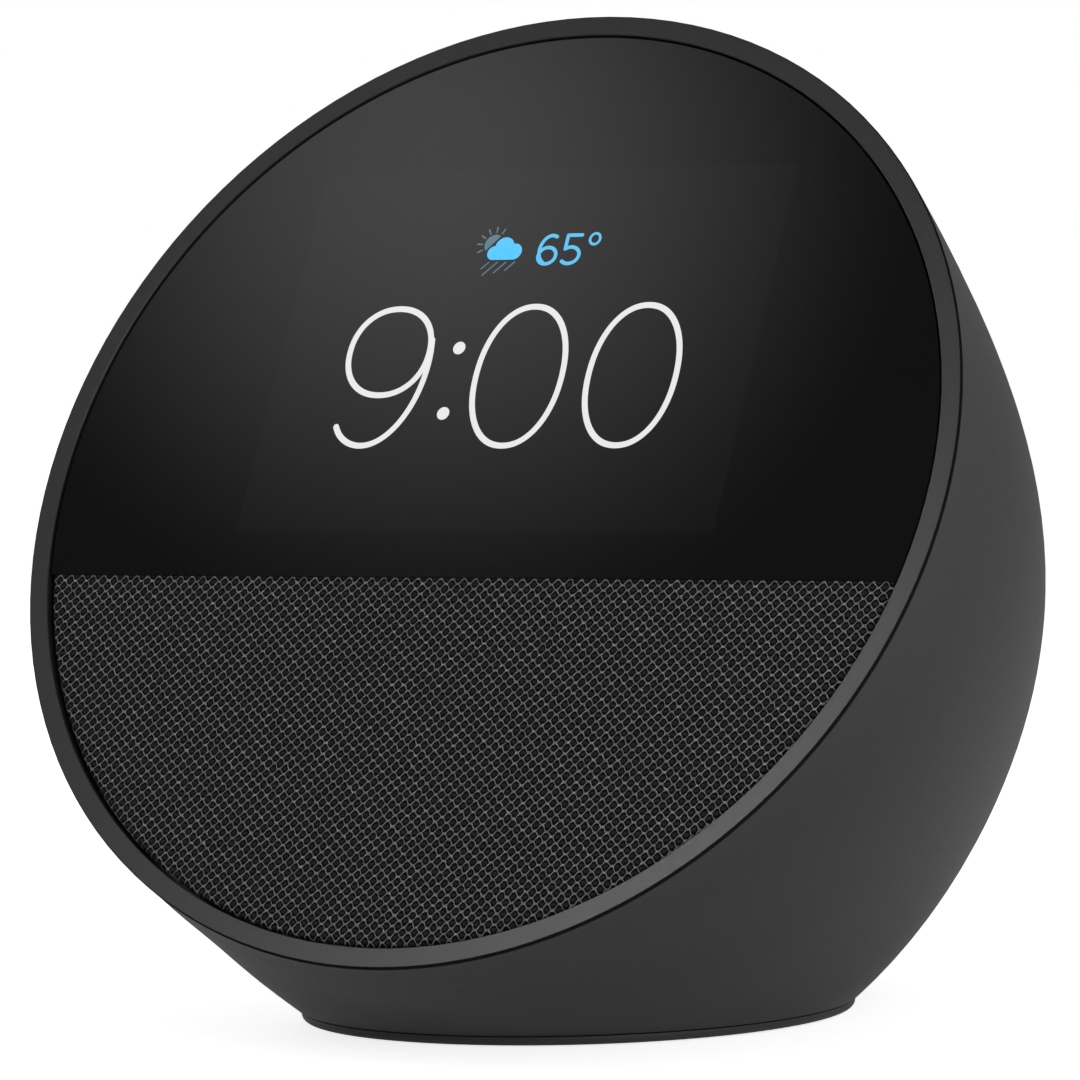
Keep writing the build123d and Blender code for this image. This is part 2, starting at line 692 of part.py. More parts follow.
PARTS = {
    "rear_housing": rear_housing,
    "front_bezel": front_bezel,
    "base_plate": base_plate,
    "rubber_foot": rubber_foot,
    "cover_glass": cover_glass,
    "touch_sensor": touch_sensor,
    "lcd_panel": lcd_panel,
    "lcd_backlight": lcd_backlight,
    "display_tray": display_tray,
    "display_flex": display_flex,
    "face_carrier": face_carrier,
    "grille_frame": grille_frame,
    "grille_fabric": grille_fabric,
    "speaker_gasket": speaker_gasket,
    "speaker_basket": speaker_basket,
    "cone_surround": cone_surround,
    "speaker_cone": speaker_cone,
    "dust_cap": dust_cap,
    "voice_coil": voice_coil,
    "spider": spider,
    "speaker_top_plate": speaker_top_plate,
    "speaker_magnet": speaker_magnet,
    "speaker_yoke": speaker_yoke,
    "enclosure_seal": enclosure_seal,
    "speaker_enclosure": speaker_enclosure,
    "speaker_leads": speaker_leads,
    "board_frame": board_frame,
    "main_board": main_board,
    "soc_shield": soc_shield,
    "radio_shield": radio_shield,
    "thermal_pad": thermal_pad,
    "heat_spreader": heat_spreader,
    "board_connectors": board_connectors,
    "antenna_left": lambda: wall_patch(-1),
    "antenna_right": lambda: wall_patch(1),
    "antenna_cables": antenna_cables,
    "power_leads": power_leads,
    "button_board": button_board,
    "tact_switches": tact_switches,
    "microphones": microphones,
    "mic_gaskets": mic_gaskets,
    "volume_down_button": lambda: press_button(0),
    "mic_mute_button": lambda: press_button(1) - lens_bore(),
    "volume_up_button": lambda: press_button(2),
    "mute_button_lens": mute_button_lens,
    "volume_down_plunger": lambda: plunger(0),
    "mic_mute_plunger": lambda: plunger(1),
    "volume_up_plunger": lambda: plunger(2),
    "dc_jack": dc_jack,
    "jack_pin": jack_pin,
    "jack_board": jack_board,
    "face_screws": face_screws,
    "display_screws": display_screws,
    "speaker_screws": speaker_screws,
    "board_screws": board_screws,
    "button_board_screws": button_board_screws,
    "jack_board_screws": jack_board_screws,
    "base_screws": base_screws,
}

os.makedirs("parts", exist_ok=True)
for name, make in PARTS.items():
    export_step(make(), f"parts/{name}.step")
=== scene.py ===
"""A round-faced smart speaker: the looks of the CAD assembly, with its cloth, display and marks."""
import json
import math

import bpy
from mathutils import Matrix, Vector
from mathutils.bvhtree import BVHTree


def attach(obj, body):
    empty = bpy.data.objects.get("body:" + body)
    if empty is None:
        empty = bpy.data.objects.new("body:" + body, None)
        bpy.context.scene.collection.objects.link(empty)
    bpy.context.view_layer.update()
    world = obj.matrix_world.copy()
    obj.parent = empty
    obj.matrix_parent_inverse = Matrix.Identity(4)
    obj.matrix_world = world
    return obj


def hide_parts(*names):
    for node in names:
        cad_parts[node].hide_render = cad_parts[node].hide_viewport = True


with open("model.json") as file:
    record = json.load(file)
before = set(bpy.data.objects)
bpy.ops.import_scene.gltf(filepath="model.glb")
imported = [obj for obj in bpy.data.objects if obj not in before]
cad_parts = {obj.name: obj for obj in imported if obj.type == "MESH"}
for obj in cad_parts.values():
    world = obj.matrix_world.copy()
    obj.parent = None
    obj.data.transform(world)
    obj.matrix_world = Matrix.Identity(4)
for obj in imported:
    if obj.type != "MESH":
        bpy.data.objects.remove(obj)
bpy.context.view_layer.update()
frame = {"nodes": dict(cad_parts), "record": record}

MM = 0.001
TO_MM = 1.0 / MM
NODES = frame["nodes"]

# the tilted round face, in millimetres and degrees
FACE_TILT = math.radians(28.4)
FACE_NORMAL = Vector((0.0, -math.cos(FACE_TILT), math.sin(FACE_TILT)))
FACE_UP = Vector((0.0, math.sin(FACE_TILT), math.cos(FACE_TILT)))
FACE_RIGHT = Vector((1.0, 0.0, 0.0))
FACE_CENTRE = Vector((0.0, -17.6, 59.6))
GLASS_FRONT = -0.25
MARK_LIFT = 0.012
BEZEL_WALL = 56.34

# the cloth below the glass
CLOTH_RADIUS = 53.88
CLOTH_TOP = -11.53
CLOTH_FRONT = -0.42
CLOTH_EDGE = -0.86
CLOTH_STEP = 0.42
CLOTH_TURN = 0.5
KNIT_RELIEF = 0.06

# the knit: a cell's width and height, how far rows wander and swing, and the strand's edges
KNIT_WIDTH = 1.45
KNIT_HEIGHT = 1.25
KNIT_WANDER = 0.22
KNIT_SWING = 0.56
KNIT_TOUCH = 0.46
STRAND_CORE = 0.05
STRAND_EDGE = 0.26

# the display: the lit zone behind the glass, the clock's figures and the cloud's lobes,
# each lobe's middle, radius and height above the cloud's base
LCD_HALF_WIDTH = 29.9
LCD_MIDDLE = 15.7
LCD_HALF_HEIGHT = 21.9
LCD_GLOW = (0.0020, 0.0020, 0.0021)
LCD_PIXEL = 0.12
DIGIT_STROKE = 0.70
DIGIT_MIDDLE = 12.45
DIGIT_HALF_WIDTH = 5.4
DIGIT_HALF_HEIGHT = 8.35
DIGIT_FULLNESS = 0.94
CLOUD_LOBES = ((-5.55, 0.85, 0.0), (-4.4, 1.2, 0.35), (-3.05, 0.98, 0.0))

# greys and whites, as linear light
WHITE = (1.0, 1.0, 1.0)
BODY_GREY = (0.034, 0.034, 0.035)
RING_GREY = (0.020, 0.020, 0.021)
# painted shade: the dark grey given to the ring's outer side, standing in for the seam's shadow
PAINTED_SEAM_SHADE = (0.012, 0.012, 0.012)
YARN_DULL = (0.13, 0.13, 0.13)
YARN_PALE = (0.44, 0.44, 0.437)
# painted highlight: the near-white colour of the glints put into the strands
YARN_PAINTED_GLINT = (0.85, 0.85, 0.84)
CELL_DARK = (0.004, 0.004, 0.004)
CELL_LINING = (0.060, 0.060, 0.060)

# the three buttons on top of the body
BUTTON_ORIGIN = Vector((0.0, 19.6008, 101.059))
BUTTON_AXIS = Vector((0.0, 0.651471, 0.758674))
BUTTON_ACROSS = Vector((1.0, 0.0, 0.0))
BUTTON_PITCH = 13.0
PROBE_HEIGHT = 8.0
INK_GAP = 0.004
INK_THICKNESS = 0.016

# camera
AZIMUTH = math.radians(30.63)
ELEVATION = math.radians(3.11)
ROLL = math.radians(-1.57)
DISTANCE = 743.256
CAMERA_RIGHT = 6.323
CAMERA_DOWN = 6.530
LENS = 230.77
SENSOR = 36.0

# the room, in metres: the floor and the sky as light and as the camera sees them
FLOOR_PALE = (0.86, 0.86, 0.86)
FLOOR_LIGHT = (0.90, 0.90, 0.90)
FLOOR_GLOW = 0.16
FLOOR_SEEN = 0.78
SKY_SEEN = 1.0
SKY_DIM = 0.16
SKY_BRIGHT = 0.52
HORIZON = 0.55
DIM_SIDE = Vector((-0.50, -0.55, 0.67))

# the card that the face mirrors: its distance and size, its base glow and its bright pools
CARD_DISTANCE = 0.35
CARD_SIZE = 0.42
CARD_DARK = 0.09
CARD_POOLS = (
    {"middle": (0.039, 0.038, 0.0), "reach": 0.080, "light": 1.0},
    {"middle": (-0.115, -0.048, 0.0), "reach": 0.078, "light": 25.0},
)


def on_face(across, up, out):
    """A point given in the face's own millimetres, in the frame's metres."""
    place = FACE_CENTRE + FACE_RIGHT * across + FACE_UP * up + FACE_NORMAL * out
    return place * MM


# ---------------------------------------------------------------- shader helpers


class NodeTree:
    """A material's or the sky's node tree, with short calls for the nodes used here."""

    def __init__(self, tree):
        self.tree = tree

    def node(self, kind, **settings):
        made = self.tree.nodes.new(kind)
        for key, value in settings.items():
            setattr(made, key, value)
        return made

    def link(self, source, target):
        self.tree.links.new(source, target)
        return source

    def feed(self, target, value):
        if hasattr(value, "is_output"):
            self.link(value, target)
        elif hasattr(value, "__len__") and len(value) == 3 and len(target.default_value) == 4:
            target.default_value = (*value, 1.0)
        else:
            target.default_value = value

    def math(self, operation, a, b=0.0):
        made = self.node("ShaderNodeMath", operation=operation)
        self.feed(made.inputs[0], a)
        self.feed(made.inputs[1], b)
        return made.outputs[0]

    def dot(self, a, b):
        made = self.node("ShaderNodeVectorMath", operation="DOT_PRODUCT")
        self.feed(made.inputs[0], a)
        self.feed(made.inputs[1], b)
        return made.outputs["Value"]

    def noise(self, where, scale, detail=2.0, rough=0.5):
        made = self.node("ShaderNodeTexNoise")
        self.feed(made.inputs["Vector"], where)
        made.inputs["Scale"].default_value = scale
        made.inputs["Detail"].default_value = detail
        made.inputs["Roughness"].default_value = rough
        return made.outputs["Fac"]

    def cells(self, where, scale):
        made = self.node("ShaderNodeTexVoronoi")
        self.feed(made.inputs["Vector"], where)
        made.inputs["Scale"].default_value = scale
        return made.outputs["Distance"]

    def span(self, value, low, high, to_low, to_high, smooth=False):
        made = self.node("ShaderNodeMapRange")
        if smooth:
            made.interpolation_type = "SMOOTHSTEP"
        for socket, number in zip(made.inputs, (value, low, high, to_low, to_high)):
            self.feed(socket, number)
        return made.outputs[0]

    def blend(self, factor, a, b):
        made = self.node("ShaderNodeMix", data_type="RGBA")
        self.feed(made.inputs["Factor"], factor)
        self.feed(made.inputs[6], a)
        self.feed(made.inputs[7], b)
        return made.outputs[2]

    def bump(self, height, strength, distance):
        made = self.node("ShaderNodeBump")
        made.inputs["Strength"].default_value = strength
        made.inputs["Distance"].default_value = distance
        self.feed(made.inputs["Height"], height)
        return made.outputs["Normal"]


class Shader(NodeTree):
    """A material's node tree, with its surface shader."""

    def __init__(self, material):
        super().__init__(material.node_tree)
        self.material = material
        self.surface = self.tree.nodes["Principled BSDF"]

    def put(self, **values):
        """Sets or links the surface shader's sockets."""
        for key, value in values.items():
            self.feed(self.surface.inputs[key.replace("_", " ")], value)

    def place(self):
        return self.node("ShaderNodeTexCoord").outputs["Object"]


def new_shader(name):
    material = bpy.data.materials.new(name)
    material.use_nodes = True
    return Shader(material)


def shade(colour, amount):
    return tuple(channel * amount for channel in colour)


def moulded(name, colour, roughness, grain=2600.0, relief=0.35):
    """Moulded plastic with a fine eroded grain."""
    s = new_shader(name)
    where = s.place()
    fine = s.noise(where, grain, 3.0, 0.6)
    broad = s.noise(where, 45.0, 2.0, 0.5)
    tint = s.span(fine, 0.3, 0.7, 0.0, 1.0)
    base = s.blend(tint, shade(colour, 0.86), shade(colour, 1.14))
    s.put(Base_Color=s.blend(s.math("MULTIPLY", broad, 0.12), base, shade(colour, 0.7)))
    s.put(Roughness=s.span(fine, 0.25, 0.75, roughness - 0.05, roughness + 0.07))
    s.put(Specular_IOR_Level=0.5)
    s.put(Normal=s.bump(fine, relief, 2.0e-5))
    return s.material


def bezel(name, colour, roughness):
    """The ring's moulded face, with painted shade: its outer side wall is coloured dark and loses
    its sheen, as if in the seam's shadow.
    """
    made = moulded(name, colour, roughness, relief=0.08)
    s = Shader(made)
    across, up = face_place(s)
    both = s.math("ADD", s.math("MULTIPLY", across, across), s.math("MULTIPLY", up, up))
    # painted shade: beyond this radius the ring's side is coloured dark and its sheen taken away, as
    # if in the seam's shadow
    wall = s.span(s.math("SQRT", both), BEZEL_WALL - 0.04, BEZEL_WALL, 0.0, 1.0)
    plain = s.surface.inputs["Base Color"].links[0].from_socket
    s.put(Base_Color=s.blend(wall, plain, PAINTED_SEAM_SHADE))
    s.put(Specular_IOR_Level=s.span(wall, 0.0, 1.0, 0.5, 0.0))
    return made


def metal(name, colour, roughness, scratch=900.0):
    """Bare metal with rolling marks and a slight cloudiness."""
    s = new_shader(name)
    where = s.place()
    stretch = s.node("ShaderNodeMapping")
    s.link(where, stretch.inputs["Vector"])
    stretch.inputs["Scale"].default_value = (1.0, 1.0, 0.06)
    lines = s.noise(stretch.outputs[0], scratch, 4.0, 0.7)
    cloud = s.noise(where, 120.0, 2.0, 0.5)
    s.put(Base_Color=s.blend(cloud, shade(colour, 0.85), colour))
    s.put(Metallic=1.0)
    s.put(Roughness=s.span(lines, 0.2, 0.8, roughness - 0.07, roughness + 0.1))
    s.put(Normal=s.bump(lines, 0.25, 1.0e-5))
    return s.material


def rubber(name, colour):
    s = new_shader(name)
    where = s.place()
    pores = s.cells(where, 1800.0)
    dust = s.noise(where, 300.0, 4.0, 0.65)
    s.put(Base_Color=s.blend(dust, shade(colour, 0.8), shade(colour, 1.3)))
    s.put(Roughness=s.span(dust, 0.3, 0.7, 0.62, 0.82))
    s.put(Specular_IOR_Level=0.35)
    s.put(Normal=s.bump(pores, 0.2, 2.0e-5))
    return s.material


def circuit_board(name):
    s = new_shader(name)
    where = s.place()
    tracks = s.node("ShaderNodeTexBrick")
    s.link(where, tracks.inputs["Vector"])
    tracks.inputs["Scale"].default_value = 420.0
    tracks.inputs["Mortar Size"].default_value = 0.035
    tracks.inputs["Color1"].default_value = (0.008, 0.055, 0.022, 1.0)
    tracks.inputs["Color2"].default_value = (0.010, 0.066, 0.028, 1.0)
    tracks.inputs["Mortar"].default_value = (0.030, 0.140, 0.060, 1.0)
    weave = s.noise(where, 3000.0, 2.0, 0.5)
    s.put(Base_Color=tracks.outputs["Color"])
    s.put(Roughness=s.span(weave, 0.3, 0.7, 0.28, 0.42))
    s.put(Normal=s.bump(tracks.outputs["Fac"], 0.3, 1.5e-5))
    return s.material


def woven(name, colour, pitch):
    """A plain weave, for the spider's resin cloth."""
    s = new_shader(name)
    where = s.place()
    over = s.node("ShaderNodeTexWave", wave_type="BANDS", bands_direction="X")
    s.link(where, over.inputs["Vector"])
    over.inputs["Scale"].default_value = 1.0 / pitch
    over.inputs["Distortion"].default_value = 0.4
    under = s.node("ShaderNodeTexWave", wave_type="BANDS", bands_direction="Z")
    s.link(where, under.inputs["Vector"])
    under.inputs["Scale"].default_value = 1.0 / pitch
    both = s.math("MULTIPLY", over.outputs["Fac"], under.outputs["Fac"])
    s.put(Base_Color=s.blend(both, shade(colour, 0.55), colour))
    s.put(Roughness=s.span(both, 0.0, 1.0, 0.85, 0.70))
    s.put(Normal=s.bump(both, 0.6, 6.0e-5))
    return s.material


def paper(name, colour):
    s = new_shader(name)
    where = s.place()
    fibres = s.noise(where, 1400.0, 6.0, 0.75)
    s.put(Base_Color=s.blend(fibres, shade(colour, 0.6), shade(colour, 1.4)))
    s.put(Roughness=s.span(fibres, 0.3, 0.7, 0.7, 0.92))
    s.put(Normal=s.bump(fibres, 0.5, 4.0e-5))
    return s.material


def film(name, colour, roughness):
    s = new_shader(name)
    where = s.place()
    ripple = s.noise(where, 160.0, 3.0, 0.5)
    fine = s.noise(where, 2200.0, 2.0, 0.5)
    s.put(Base_Color=s.blend(ripple, shade(colour, 0.85), shade(colour, 1.1)))
    s.put(Roughness=s.span(fine, 0.3, 0.7, roughness, roughness + 0.12))
    s.put(Coat_Weight=0.3)
    s.put(Normal=s.bump(ripple, 0.15, 4.0e-5))
    return s.material


def wound_wire(name, colour):
    """Enamelled copper: close turns round the coil."""
    wire = 0.16 * MM
    s = new_shader(name)
    where = s.place()
    along = s.dot(where, tuple(FACE_NORMAL))
    turns = s.math("SINE", s.math("MULTIPLY", along, 2.0 * math.pi / wire))
    spread = s.noise(where, 500.0, 2.0, 0.5)
    s.put(Base_Color=s.blend(spread, shade(colour, 0.8), colour))
    s.put(Metallic=0.9)
    s.put(Roughness=s.span(spread, 0.3, 0.7, 0.25, 0.4))
    s.put(Normal=s.bump(turns, 0.5, 3.0e-5))
    return s.material


def pinned(name, colour):
    """Connector plastic with rows of contacts."""
    s = new_shader(name)
    where = s.place()
    rows = s.node("ShaderNodeTexWave", wave_type="BANDS", bands_direction="X")
    s.link(where, rows.inputs["Vector"])
    rows.inputs["Scale"].default_value = 330.0
    contact = s.span(rows.outputs["Fac"], 0.72, 0.8, 0.0, 1.0)
    grain = s.noise(where, 1500.0, 2.0, 0.5)
    s.put(Base_Color=s.blend(contact, colour, (0.62, 0.50, 0.24)))
    s.put(Metallic=s.math("MULTIPLY", contact, 0.9))
    s.put(Roughness=s.span(grain, 0.3, 0.7, 0.35, 0.5))
    s.put(Normal=s.bump(rows.outputs["Fac"], 0.3, 3.0e-5))
    return s.material


def face_place(s):
    """The across and up distances on the face, in millimetres, as two sockets."""
    where = s.place()
    centre = FACE_CENTRE * MM
    offset = s.node("ShaderNodeVectorMath", operation="SUBTRACT")
    s.link(where, offset.inputs[0])
    offset.inputs[1].default_value = tuple(centre)
    across = s.dot(offset.outputs[0], tuple(FACE_RIGHT * TO_MM))
    up = s.dot(offset.outputs[0], tuple(FACE_UP * TO_MM))
    return across, up


def display_glass(name):
    """Black-backed cover glass: the lit LCD shows as a barely lighter rectangle."""
    s = new_shader(name)
    where = s.place()
    across, up = face_place(s)
    beyond_side = s.math("SUBTRACT", s.math("ABSOLUTE", across), LCD_HALF_WIDTH)
    from_middle = s.math("ABSOLUTE", s.math("SUBTRACT", up, LCD_MIDDLE))
    beyond_top = s.math("SUBTRACT", from_middle, LCD_HALF_HEIGHT)
    outside = s.math("MAXIMUM", beyond_side, beyond_top)
    lit = s.span(outside, -0.25, 0.15, 1.0, 0.0, smooth=True)
    haze = s.noise(where, 60.0, 2.0, 0.5)
    wipe = s.noise(where, 900.0, 3.0, 0.6)
    glow = s.blend(lit, (0.0, 0.0, 0.0), LCD_GLOW)
    s.put(Base_Color=s.blend(haze, (0.0030, 0.0030, 0.0032), (0.0044, 0.0044, 0.0046)))
    s.put(Roughness=s.span(wipe, 0.3, 0.7, 0.035, 0.06))
    s.put(Specular_IOR_Level=0.55)
    s.put(Emission_Color=glow)
    s.put(Emission_Strength=1.0)
    s.put(Normal=s.bump(haze, 0.02, 1.0e-5))
    return s.material


def lit_mark(name, colour, strength):
    """A part of the lit picture on the display, with the panel's fine pixel rows."""
    s = new_shader(name)
    across, up = face_place(s)
    rows = s.math("SINE", s.math("MULTIPLY", up, 2.0 * math.pi / LCD_PIXEL))
    columns = s.math("SINE", s.math("MULTIPLY", across, 2.0 * math.pi / LCD_PIXEL))
    pixels = s.math("MULTIPLY", rows, columns)
    s.put(Base_Color=s.blend(s.span(pixels, -1, 1, 0, 1), shade(colour, 0.05), shade(colour, 0.1)))
    s.put(Roughness=s.span(pixels, -1.0, 1.0, 0.04, 0.08))
    s.put(Emission_Color=colour)
    s.put(Emission_Strength=s.span(pixels, -1.0, 1.0, strength * 0.97, strength * 1.03))
    return s.material


def nearest_strand(s, flat):
    """Distance to the nearest strand, in half cells.

    The strands run across. Neighbours swing opposite ways, so they nearly touch once a cell.
    """
    wander = s.noise(flat, 0.9, 2.0, 0.6)
    shift = s.span(wander, 0.2, 0.8, -KNIT_WANDER, KNIT_WANDER)
    split = s.node("ShaderNodeSeparateXYZ")
    s.link(flat, split.inputs[0])
    rows = s.math("ADD", s.math("DIVIDE", split.outputs[1], KNIT_HEIGHT / 2), shift)
    turn = s.math("MULTIPLY", split.outputs[0], 2.0 * math.pi / KNIT_WIDTH)
    swing = s.math("MULTIPLY", s.math("COSINE", s.math("ADD", turn, shift)), KNIT_SWING)
    swing = s.math("MINIMUM", s.math("MAXIMUM", swing, -KNIT_TOUCH), KNIT_TOUCH)
    even = s.math("PINGPONG", s.math("SUBTRACT", rows, swing), 1.0)
    odd = s.math("PINGPONG", s.math("SUBTRACT", s.math("ADD", rows, swing), 1.0), 1.0)
    return s.math("MINIMUM", even, odd)


def knit(name):
    """Open knit over a dark lining: pale strands round dark cells in half-offset rows."""
    s = new_shader(name)
    flat = s.node("ShaderNodeUVMap", uv_map="millimetres").outputs[0]
    front = nearest_strand(s, flat)
    strand = s.span(front, STRAND_CORE, STRAND_EDGE, 1.0, 0.0, smooth=True)
    fibre = s.noise(flat, 7.0, 4.0, 0.7)
    patch = s.noise(flat, 1.9, 3.0, 0.75)
    # painted highlight: random spots on the strands are coloured near white as glints
    painted_glint = s.span(s.noise(flat, 2.6, 1.0, 0.5), 0.60, 0.70, 0.0, 1.0)
    pale = s.blend(s.span(patch, 0.35, 0.65, 0.0, 1.0), YARN_DULL, YARN_PALE)
    pale = s.blend(s.math("MULTIPLY", painted_glint, 0.8), pale, YARN_PAINTED_GLINT)
    pale = s.blend(s.span(fibre, 0.35, 0.65, 0.0, 0.6), pale, YARN_DULL)
    lining = s.math("MULTIPLY", s.span(front, 0.45, 0.8, 0.0, 1.0, smooth=True), patch)
    dark = s.blend(lining, CELL_DARK, CELL_LINING)
    s.put(Base_Color=s.blend(strand, dark, pale))
    s.put(Roughness=s.span(fibre, 0.3, 0.7, 0.62, 0.85))
    s.put(Specular_IOR_Level=s.span(strand, 0.0, 1.0, 0.03, 0.4))
    relief = s.math("ADD", strand, s.math("MULTIPLY", fibre, 0.25))
    s.put(Normal=s.bump(relief, 0.7, 1.2e-4))
    return s.material


SLOTS = {
    "housing_plastic": moulded("housing_plastic", BODY_GREY, 0.50),
    "bezel_plastic": bezel("bezel_plastic", RING_GREY, 0.37),
    "cover_glass": display_glass("cover_glass"),
    "fabric": knit("knitted_fabric"),
    "black_plastic": moulded("black_plastic", (0.012, 0.012, 0.013), 0.45),
    "grey_plastic": moulded("grey_plastic", (0.16, 0.16, 0.17), 0.5),
    "rubber": rubber("rubber", (0.018, 0.018, 0.019)),
    "lcd": film("lcd", (0.010, 0.012, 0.016), 0.12),
    "backlight": film("backlight", (0.78, 0.78, 0.76), 0.45),
    "steel": metal("steel", (0.55, 0.55, 0.56), 0.3),
    "zinc_screw": metal("zinc_screw", (0.62, 0.62, 0.60), 0.34, 1600.0),
    "aluminium": metal("aluminium", (0.80, 0.81, 0.82), 0.36),
    "board": circuit_board("board"),
    "connector": pinned("connector", (0.70, 0.68, 0.60)),
    "film": film("film", (0.10, 0.10, 0.10), 0.3),
    "polyimide": film("polyimide", (0.42, 0.17, 0.03), 0.25),
    "wire": moulded("wire", (0.05, 0.05, 0.055), 0.42, 1500.0),
    "magnet": metal("magnet", (0.30, 0.30, 0.31), 0.42),
    "cone_paper": paper("cone_paper", (0.022, 0.022, 0.023)),
    "copper": wound_wire("copper", (0.72, 0.30, 0.13)),
    "spider_cloth": woven("spider_cloth", (0.45, 0.24, 0.08), 0.0006),
    "thermal_gel": moulded("thermal_gel", (0.34, 0.36, 0.42), 0.6, 700.0),
    "lens": film("lens", (0.30, 0.012, 0.010), 0.12),
}


def dress_cad():
    """Gives every CAD piece the finish of its own slot in the record."""
    for part in frame["record"]["subparts"]:
        mesh = NODES[part["node"]].data
        mesh.materials.clear()
        mesh.materials.append(SLOTS[part["material_slot"]])


# ---------------------------------------------------------------- new pieces


def mesh_piece(name, points, faces, finish, body="housing", smooth=True):
    mesh = bpy.data.meshes.new(name)
    mesh.from_pydata(points, [], faces)
    mesh.materials.append(finish)
    mesh.update()
    piece = bpy.data.objects.new(name, mesh)
    bpy.context.scene.collection.objects.link(piece)
    if smooth:
        mesh.shade_smooth()
    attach(piece, body)
    return piece


def knit_relief(across, up):
    """How far a strand stands above the cells, from 0 to 1."""
    hole = math.cos(2 * math.pi * across / KNIT_WIDTH) * math.cos(2 * math.pi * up / KNIT_HEIGHT)
    return max(0.0, min(1.0, 0.5 - hole))


def grille_cloth():
    """The knitted cloth, laid flat over the perforated frame and rounded over at the ring."""
    rows = int((CLOTH_RADIUS + CLOTH_TOP) / CLOTH_STEP)
    half_chord = math.sqrt(CLOTH_RADIUS**2 - CLOTH_TOP**2)
    columns = int(2 * half_chord / CLOTH_STEP)
    points = []
    flat = []
    for row in range(rows + 1):
        share = row / rows
        up = CLOTH_TOP + (-CLOTH_RADIUS + 0.02 - CLOTH_TOP) * share
        half = math.sqrt(max(CLOTH_RADIUS**2 - up**2, 1e-6))
        for column in range(columns + 1):
            across = half * (2 * column / columns - 1)
            to_rim = CLOTH_RADIUS - math.hypot(across, up)
            turned = max(0.0, 1.0 - to_rim / CLOTH_TURN)
            fall = 1.0 - math.sqrt(max(0.0, 1.0 - turned**2))
            out = CLOTH_FRONT + (CLOTH_EDGE - CLOTH_FRONT) * fall
            out += KNIT_RELIEF * knit_relief(across, up) * (1.0 - turned)
            points.append(on_face(across, up, out))
            flat.append((across, up))
    wide = columns + 1
    faces = []
    for row in range(rows):
        for column in range(columns):
            corner = row * wide + column
            faces.append((corner, corner + wide, corner + wide + 1, corner + 1))
    cloth = mesh_piece("grille_cloth", points, faces, SLOTS["fabric"])
    layer = cloth.data.uv_layers.new(name="millimetres")
    for loop in cloth.data.loops:
        layer.data[loop.index].uv = flat[loop.vertex_index]
    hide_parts("grille_fabric")


def smooth_path(points, closed, steps=10):
    """A Catmull-Rom curve through the points."""
    count = len(points)
    spans = count if closed else count - 1
    path = []
    for i in range(spans):
        if closed:
            four = [points[(i + k) % count] for k in (-1, 0, 1, 2)]
        else:
            four = [points[min(max(i + k, 0), count - 1)] for k in (-1, 0, 1, 2)]
        p0, p1, p2, p3 = [Vector(p) for p in four]
        for step in range(steps):
            t = step / steps
            part = 2 * p1 + (p2 - p0) * t
            part += (2 * p0 - 5 * p1 + 4 * p2 - p3) * t * t
            part += (3 * p1 - p0 - 3 * p2 + p3) * t * t * t
            path.append(part / 2)
    if not closed:
        path.append(Vector(points[-1]))
    return path


def outline(path, width, closed):
    """The left and right edges of a stroke along the path, with round ends."""
    count = len(path)
    left = []
    right = []
    for i in range(count):
        if closed:
            ahead = path[(i + 1) % count] - path[i - 1]
        else:
            ahead = path[min(i + 1, count - 1)] - path[max(i - 1, 0)]
        side = Vector((-ahead.y, ahead.x)).normalized() * width / 2
        left.append(path[i] + side)
        right.append(path[i] - side)
    if closed:
        return left, right
    for end, order in ((0, 1), (count - 1, -1)):
        inner = path[end + order]
        back = (path[end] - inner).normalized()
        side = Vector((-back.y, back.x))
        cap_left = []
        cap_right = []
        for step in (1, 2, 3, 4):
            turn = math.pi / 2 * step / 4
            out = back * math.sin(turn) * width / 2
            half = side * math.cos(turn) * width / 2
            cap_left.append(path[end] + out - half * order)
            cap_right.append(path[end] + out + half * order)
        if end == 0:
            left = cap_left[::-1] + left
            right = cap_right[::-1] + right
        else:
            left = left + cap_left
            right = right + cap_right
    return left, right


def stroke(name, points, width, finish, place, body="housing", closed=False):
    """A thin raised stroke. place turns (across, up, lift) into a point of the frame."""
    path = smooth_path(points, closed)
    left, right = outline(path, width, closed)
    count = len(left)
    corners = []
    for edge, lift in ((left, 1.0), (right, 1.0), (left, 0.0), (right, 0.0)):
        corners += [place(p.x, p.y, lift) for p in edge]
    faces = []
    last = count if closed else count - 1
    for i in range(last):
        j = (i + 1) % count
        top_left, top_right = i, count + i
        low_left, low_right = 2 * count + i, 3 * count + i
        next_left, next_right = j, count + j
        under_left, under_right = 2 * count + j, 3 * count + j
        faces.append((top_left, top_right, next_right, next_left))
        faces.append((low_left, under_left, under_right, low_right))
        faces.append((top_left, next_left, under_left, low_left))
        faces.append((top_right, low_right, under_right, next_right))
    return mesh_piece(name, corners, faces, finish, body, smooth=False)


def filled(name, points, finish, place, round_it=True):
    """A thin raised filled shape."""
    path = smooth_path(points, True, 6) if round_it else [Vector(p) for p in points]
    count = len(path)
    corners = [place(p.x, p.y, 1.0) for p in path] + [place(p.x, p.y, 0.0) for p in path]
    faces = [tuple(range(count)), tuple(range(2 * count - 1, count - 1, -1))]
    for i in range(count):
        j = (i + 1) % count
        faces.append((i, count + i, count + j, j))
    return mesh_piece(name, corners, faces, finish, smooth=False)


def on_glass(across, up, lift):
    return on_face(across, up, GLASS_FRONT + MARK_LIFT * (0.2 + 0.8 * lift))


def ring_points(across, up, half_width, half_height, fullness=1.0, count=28):
    """A superellipse round a centre."""
    points = []
    for i in range(count):
        turn = 2 * math.pi * i / count
        c = math.cos(turn)
        d = math.sin(turn)
        x = math.copysign(abs(c) ** fullness, c) * half_width
        y = math.copysign(abs(d) ** fullness, d) * half_height
        points.append((across + x, up + y))
    return points


